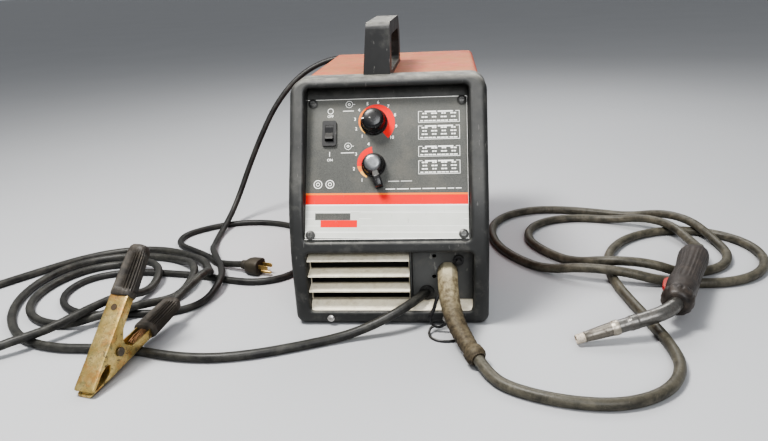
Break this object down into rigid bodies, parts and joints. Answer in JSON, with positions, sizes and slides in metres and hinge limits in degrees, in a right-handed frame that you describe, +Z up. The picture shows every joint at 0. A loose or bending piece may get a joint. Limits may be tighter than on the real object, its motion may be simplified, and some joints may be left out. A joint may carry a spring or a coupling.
{
  "type": "wire feed welding machine",
  "caption": "Portable wire feed welder: sheet case with moulded sloping front, carrying handle, hinged side door over the wire compartment, gun on a cable, work clamp on a cable, power cord.",
  "frame": {"origin": "centre of the case's footprint, on the floor under the feet", "axes": "+X to the right seen from the front, +Y to the rear, +Z up"},
  "size_m": [1.2059, 0.6951, 0.3694],
  "materials": {
    "black_moulding": "fine texture, dusty",
    "nameplate": "printed film",
    "case_red": "worn paint",
    "cream_plastic": "dusty",
    "panel_dark": "satin",
    "control_black": "gloss",
    "housing_plastic": "satin",
    "screw_steel": "worn zinc",
    "bare_steel": "satin",
    "foot_rubber": "matte",
    "boot_rubber": "dusty",
    "gun_cable_rubber": "dirty",
    "work_cable_rubber": "matte",
    "power_cord_rubber": "dusty",
    "gun_plastic": "ribbed, scuffed",
    "trigger_red": "worn",
    "neck_metal": "blackened",
    "nozzle_metal": "spattered",
    "copper": "satin",
    "clamp_plating": "yellow plated steel",
    "clamp_rubber": "ribbed, dusty",
    "plug_plastic": "dusty",
    "brass_blade": "satin",
    "core_steel": "laminated",
    "winding": "lacquered",
    "aluminium_part": "satin",
    "can_plastic": "sleeve",
    "board": "printed circuit",
    "motor_metal": "satin",
    "spool_plastic": "satin",
    "wire_copper": "wound wire",
    "white_plastic": "satin"
  },
  "bodies": {
    "machine": {"front_bezel": "black_moulding", "nameplate_panel": "nameplate", "nameplate_screws": "screw_steel", "front_louvres": "cream_plastic", "cable_panel": "panel_dark", "rocker_housing": "housing_plastic", "speed_potentiometer": "bare_steel", "voltage_switch": "housing_plastic", "breaker_body": "housing_plastic", "case_wrap": "case_red", "door_hinge": "bare_steel", "rear_panel": "case_red", "base_pan": "panel_dark", "rubber_feet": "foot_rubber", "handle": "black_moulding", "case_screws": "screw_steel", "partition": "bare_steel", "transformer_core": "core_steel", "transformer_coils": "winding", "output_choke": "core_steel", "capacitor": "can_plastic", "rectifier": "aluminium_part", "control_board": "board", "fan_motor": "motor_metal", "wire_drive_gearmotor": "motor_metal", "spool_spindle": "housing_plastic", "gun_cable": "gun_cable_rubber", "work_cable": "work_cable_rubber", "power_cord": "power_cord_rubber", "cord_strain_relief": "housing_plastic", "work_cable_grommet": "foot_rubber", "gun_boot": "boot_rubber", "gun_handle_left": "gun_plastic", "gun_handle_right": "gun_plastic", "gun_neck_nut": "gun_plastic", "gooseneck": "neck_metal", "nozzle": "nozzle_metal", "contact_tip": "copper", "clamp_lower_arm": "clamp_plating", "clamp_lower_grip": "clamp_rubber", "clamp_pivot_pin": "bare_steel", "clamp_spring": "bare_steel", "plug_body": "plug_plastic", "plug_blades": "brass_blade"},
    "rocker": {"power_rocker": "control_black"},
    "speed_control": {"speed_knob": "control_black"},
    "voltage_control": {"voltage_knob": "control_black"},
    "breaker_reset": {"breaker_button": "white_plastic"},
    "door": {"side_door": "case_red"},
    "latch": {"door_latch": "control_black"},
    "trigger": {"gun_trigger": "trigger_red"},
    "clamp_jaw": {"clamp_upper_arm": "clamp_plating", "clamp_upper_grip": "clamp_rubber"},
    "fan": {"fan_blade": "white_plastic"},
    "feed_roll": {"drive_roll": "bare_steel"},
    "pressure_arm": {"idle_arm": "aluminium_part"},
    "pressure_roll": {"idle_roll": "bare_steel"},
    "tension_screw": {"tension_knob": "control_black"},
    "spool": {"wire_spool": "spool_plastic", "wire_coil": "wire_copper"}
  },
  "joints": [
    {"name": "rocker_tilt", "type": "hinge", "parent": "machine", "child": "rocker", "pos_m": [-0.075, -0.1385, 0.23671], "axis": [1, 0, 0], "range_deg": [0, 24]},
    {"name": "speed_turn", "type": "hinge", "parent": "machine", "child": "speed_control", "pos_m": [-0.018, -0.13277, 0.2492], "axis": [0, -0.8763, 0.4818], "range_deg": [-230, 70]},
    {"name": "voltage_turn", "type": "hinge", "parent": "machine", "child": "voltage_control", "pos_m": [-0.018, -0.15975, 0.20012], "axis": [0, -0.8763, 0.4818], "range_deg": [-90, 0]},
    {"name": "breaker_press", "type": "slide", "parent": "machine", "child": "breaker_reset", "axis": [0, 1, 0], "range_m": [0, 0.003], "stiffness_N_per_m": 150},
    {"name": "door_swing", "type": "hinge", "parent": "machine", "child": "door", "pos_m": [0.1204, 0.06, 0.262], "axis": [0, -1, 0], "range_deg": [0, 100]},
    {"name": "latch_turn", "type": "hinge", "parent": "door", "child": "latch", "pos_m": [0.117, 0.06, 0.045], "axis": [1, 0, 0], "range_deg": [0, 90]},
    {"name": "trigger_pull", "type": "hinge", "parent": "machine", "child": "trigger", "pos_m": [0.34656, -0.1807, 0.036], "axis": [0, 0, -1], "range_deg": [0, 8], "stiffness_Nm_per_rad": 0.4},
    {"name": "clamp_open", "type": "hinge", "parent": "machine", "child": "clamp_jaw", "pos_m": [-0.31483, -0.32617, 0.03133], "axis": [-0.9724, 0.2335, 0], "range_deg": [0, 25], "stiffness_Nm_per_rad": 3, "springref_deg": -17.19},
    {"name": "fan_spin", "type": "hinge", "parent": "machine", "child": "fan", "pos_m": [-0.064, 0.172, 0.178], "axis": [0, 1, 0], "continuous": true},
    {"name": "feed_roll_spin", "type": "hinge", "parent": "machine", "child": "feed_roll", "pos_m": [0.0725, -0.096, 0.052], "axis": [1, 0, 0], "continuous": true},
    {"name": "pressure_arm_swing", "type": "hinge", "parent": "machine", "child": "pressure_arm", "pos_m": [0.0725, -0.124, 0.097], "axis": [1, 0, 0], "range_deg": [0, 60]},
    {"name": "pressure_roll_spin", "type": "hinge", "parent": "pressure_arm", "child": "pressure_roll", "pos_m": [0.0725, -0.096, 0.0794], "axis": [1, 0, 0], "continuous": true},
    {"name": "tension_turn", "type": "hinge", "parent": "pressure_arm", "child": "tension_screw", "pos_m": [0.0735, -0.096, 0.115], "axis": [0, 0, 1], "range_deg": [-360, 360]},
    {"name": "spool_spin", "type": "hinge", "parent": "machine", "child": "spool", "pos_m": [0.047, 0.095, 0.15], "axis": [1, 0, 0], "continuous": true}
  ],
  "couplings": [
    {"joint": "pressure_roll_spin", "follows": "feed_roll_spin", "ratio": -1.2586}
  ]
}
